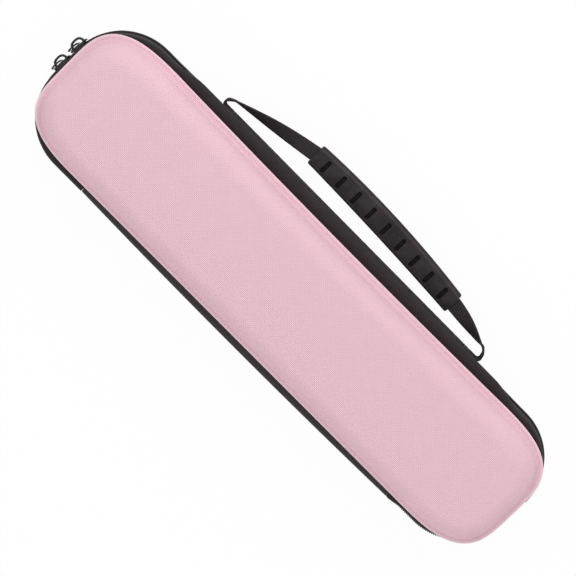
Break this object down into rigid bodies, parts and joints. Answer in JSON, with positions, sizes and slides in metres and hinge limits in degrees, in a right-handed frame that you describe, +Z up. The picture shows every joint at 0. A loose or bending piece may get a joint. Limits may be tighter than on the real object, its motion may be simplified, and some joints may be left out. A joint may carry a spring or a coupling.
{
  "type": "flute bag",
  "caption": "Hard-shell flute case with fabric-faced foam shells, a zip band, twin zip sliders, a webbing handle with a rubber grip, a fitted foam tray and a net pocket in the lid.",
  "frame": {"origin": "middle of the back shell's flat face, with the case lying on it", "axes": "+X along the case towards its zip-slider end, -Y towards the handle, +Y towards the hinge, +Z up out of the front shell"},
  "size_m": [0.4421, 0.1417, 0.062],
  "materials": {
    "pink_weave": "fine woven nylon facing on moulded foam, matt",
    "black_weave": "black woven polyester tape and webbing",
    "black_coil": "nylon coil under woven zip tape",
    "black_rubber": "soft moulded rubber, satin",
    "black_metal": "black lacquered zinc, semi-gloss",
    "black_plush": "short-pile velour on foam",
    "black_lining": "brushed knit lining",
    "black_net": "open polyester net"
  },
  "bodies": {
    "base": {"back_shell": "pink_weave", "back_lining": "black_lining", "back_binding": "black_weave", "back_gusset": "black_weave", "back_zip_tape": "black_weave", "back_zip_chain": "black_coil", "back_hinge_band": "black_weave", "near_zip_tab": "black_weave", "far_zip_tab": "black_weave", "handle_base_strap": "black_weave", "foam_tray": "black_plush", "foam_base": "black_plush"},
    "lid": {"front_shell": "pink_weave", "front_lining": "black_lining", "front_binding": "black_weave", "front_zip_tape": "black_weave", "front_zip_chain": "black_coil", "front_hinge_band": "black_weave", "ceiling_pad": "black_plush", "pocket_net": "black_net", "pocket_hem": "black_weave", "pocket_border": "black_weave"},
    "handle": {"handle_strap": "black_weave", "handle_grip": "black_rubber"},
    "handle_side_slider": {"handle_side_slider": "black_metal"},
    "hinge_side_slider": {"hinge_side_slider": "black_metal"},
    "handle_side_pull": {"handle_side_pull": "black_metal"},
    "hinge_side_pull": {"hinge_side_pull": "black_metal"}
  },
  "joints": [
    {"name": "lid_hinge", "type": "hinge", "parent": "base", "child": "lid", "pos_m": [0, 0.0565, 0.034], "axis": [-1, 0, 0], "range_deg": [0, 180]},
    {"name": "handle_swing", "type": "hinge", "parent": "base", "child": "handle", "pos_m": [0, -0.06406, 0.0246], "axis": [-0.9999, -0.0119, 0], "range_deg": [-90, 90]},
    {"name": "handle_side_zip", "type": "hinge", "parent": "base", "child": "handle_side_slider", "pos_m": [0.1757, -0.0126, 0.034], "axis": [0, 0, -1], "range_deg": [0, 85]},
    {"name": "hinge_side_zip", "type": "slide", "parent": "base", "child": "hinge_side_slider", "axis": [0, 1, 0], "range_m": [0, 0.011]},
    {"name": "handle_side_pull_swing", "type": "hinge", "parent": "handle_side_slider", "child": "handle_side_pull", "pos_m": [0.22032, -0.01072, 0.034], "axis": [0.9985, -0.0545, 0], "range_deg": [-40, 22]},
    {"name": "hinge_side_pull_swing", "type": "hinge", "parent": "hinge_side_slider", "child": "hinge_side_pull", "pos_m": [0.22015, 0.00591, 0.034], "axis": [1, 0, 0], "range_deg": [-22, 100]}
  ]
}
